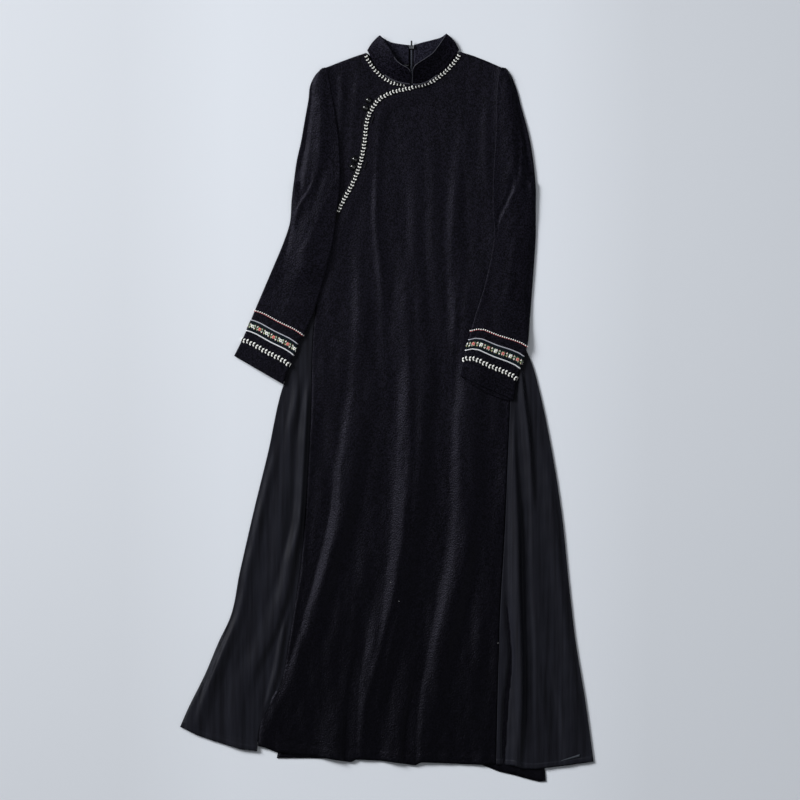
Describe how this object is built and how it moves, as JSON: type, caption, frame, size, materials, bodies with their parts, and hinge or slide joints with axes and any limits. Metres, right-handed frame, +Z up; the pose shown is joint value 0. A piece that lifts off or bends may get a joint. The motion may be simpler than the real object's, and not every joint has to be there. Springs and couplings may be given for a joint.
{
  "type": "cheongsam dress",
  "caption": "Long black cheongsam laid flat: mandarin collar, curved placket with leaf braid and frog closures, long sleeves with trimmed cuffs, and sheer flared side panels.",
  "frame": {"origin": "centre of the bounding box in plan, at the level of the surface the dress lies on", "axes": "+Y from the hem to the collar, +Z up from the surface, +X towards the wearer's left sleeve"},
  "size_m": [0.786, 1.4196, 0.0269],
  "materials": {
    "wool": "matt, finely napped wool crepe, near black",
    "sheer": "crisp see-through organza, near black",
    "leaf_trim": "off-white satin-stitched leaves on a black braid",
    "ribbon": "woven ribbon with small flowers between grey edges",
    "twine": "red and white twisted cord",
    "satin": "grey-black satin piping",
    "frog_cord": "black satin cord",
    "bead": "glossy black",
    "zip_tape": "fine grey coil on dark tape",
    "zip_metal": "dull grey metal"
  },
  "bodies": {
    "dress": {"back_left": "wool", "back_right": "wool", "front_main": "wool", "front_yoke": "wool", "sleeve_left": "wool", "sleeve_right": "wool", "side_panel_left": "sheer", "side_panel_right": "sheer", "collar_left": "wool", "collar_right": "wool", "neck_braid_left": "leaf_trim", "placket_braid": "leaf_trim", "placket_piping": "satin", "cuff_leaf_braid_left": "leaf_trim", "cuff_leaf_braid_right": "leaf_trim", "cuff_ribbon_left": "ribbon", "cuff_ribbon_right": "ribbon", "cuff_twine_left": "twine", "cuff_twine_right": "twine", "frog_upper_knot_1": "bead", "frog_upper_knot_2": "bead", "frog_lower_knot_1": "bead", "frog_lower_knot_2": "bead", "frog_upper_loop_1": "frog_cord", "frog_upper_loop_2": "frog_cord", "frog_lower_loop_1": "frog_cord", "frog_lower_loop_2": "frog_cord", "frog_upper_tail": "frog_cord", "frog_lower_tail": "frog_cord", "zip_chain": "zip_tape", "zip_slider": "zip_metal"},
    "pull": {"zip_pull": "zip_metal"}
  },
  "joints": [
    {"name": "zip_pull_hinge", "type": "hinge", "parent": "dress", "child": "pull", "pos_m": [0.047, 0.689, 0.00535], "axis": [1, 0, 0], "range_deg": [0, 170]}
  ]
}
